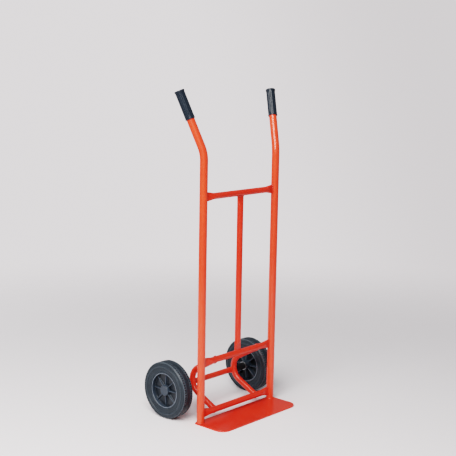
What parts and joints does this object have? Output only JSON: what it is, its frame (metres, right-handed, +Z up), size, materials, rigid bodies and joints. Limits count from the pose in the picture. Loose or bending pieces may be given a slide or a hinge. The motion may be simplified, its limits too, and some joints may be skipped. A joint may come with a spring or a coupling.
{
  "type": "hand truck",
  "caption": "Upright two-wheeled hand truck with a welded tube frame, a flat toe plate, bent-back handles and solid-tyred wheels on a through axle.",
  "frame": {"origin": "on the floor under the toe plate, midway between the two rails and in their plane", "axes": "+Z up; +Y backwards, from the rails to the wheels; -Y along the toe plate to its front edge; +X to the right as seen from the front"},
  "size_m": [0.5018, 0.3504, 1.1421],
  "materials": {
    "frame_paint": "gloss orange-red enamel over welded steel tube",
    "tyre": "solid black rubber, slightly dusty",
    "rim": "black moulded polypropylene with a soft sheen",
    "grip": "dark slate vinyl, semi-gloss",
    "spacer": "black plastic tube",
    "zinc_steel": "bright zinc plate",
    "bearing_steel": "ground bearing steel, greased",
    "cage": "natural nylon"
  },
  "bodies": {
    "frame": {"top_crossbar": "frame_paint", "middle_crossbar": "frame_paint", "lower_crossbar": "frame_paint", "centre_tube": "frame_paint", "toe_plate": "frame_paint", "axle": "frame_paint", "left_rail": "frame_paint", "left_axle_bracket": "frame_paint", "left_grip": "grip", "left_spacer": "spacer", "left_inner_washer": "zinc_steel", "left_outer_washer": "zinc_steel", "left_retainer": "zinc_steel", "right_rail": "frame_paint", "right_axle_bracket": "frame_paint", "right_grip": "grip", "right_spacer": "spacer", "right_inner_washer": "zinc_steel", "right_outer_washer": "zinc_steel", "right_retainer": "zinc_steel"},
    "left_wheel": {"left_tyre": "tyre", "left_rim": "rim", "left_hub_cap": "rim"},
    "left_bearing": {"left_bearing_cage": "cage", "left_rollers": "bearing_steel"},
    "right_wheel": {"right_tyre": "tyre", "right_rim": "rim", "right_hub_cap": "rim"},
    "right_bearing": {"right_bearing_cage": "cage", "right_rollers": "bearing_steel"}
  },
  "joints": [
    {"name": "left_wheel_spin", "type": "hinge", "parent": "frame", "child": "left_wheel", "pos_m": [-0.2137, 0.13038, 0.1], "axis": [1, 0, 0], "continuous": true},
    {"name": "left_cage_spin", "type": "hinge", "parent": "frame", "child": "left_bearing", "pos_m": [-0.2137, 0.13038, 0.1], "axis": [1, 0, 0], "continuous": true},
    {"name": "right_wheel_spin", "type": "hinge", "parent": "frame", "child": "right_wheel", "pos_m": [0.2137, 0.13038, 0.1], "axis": [1, 0, 0], "continuous": true},
    {"name": "right_cage_spin", "type": "hinge", "parent": "frame", "child": "right_bearing", "pos_m": [0.2137, 0.13038, 0.1], "axis": [1, 0, 0], "continuous": true}
  ],
  "couplings": [
    {"joint": "left_cage_spin", "follows": "left_wheel_spin", "ratio": 0.58333},
    {"joint": "right_cage_spin", "follows": "right_wheel_spin", "ratio": 0.58333}
  ]
}
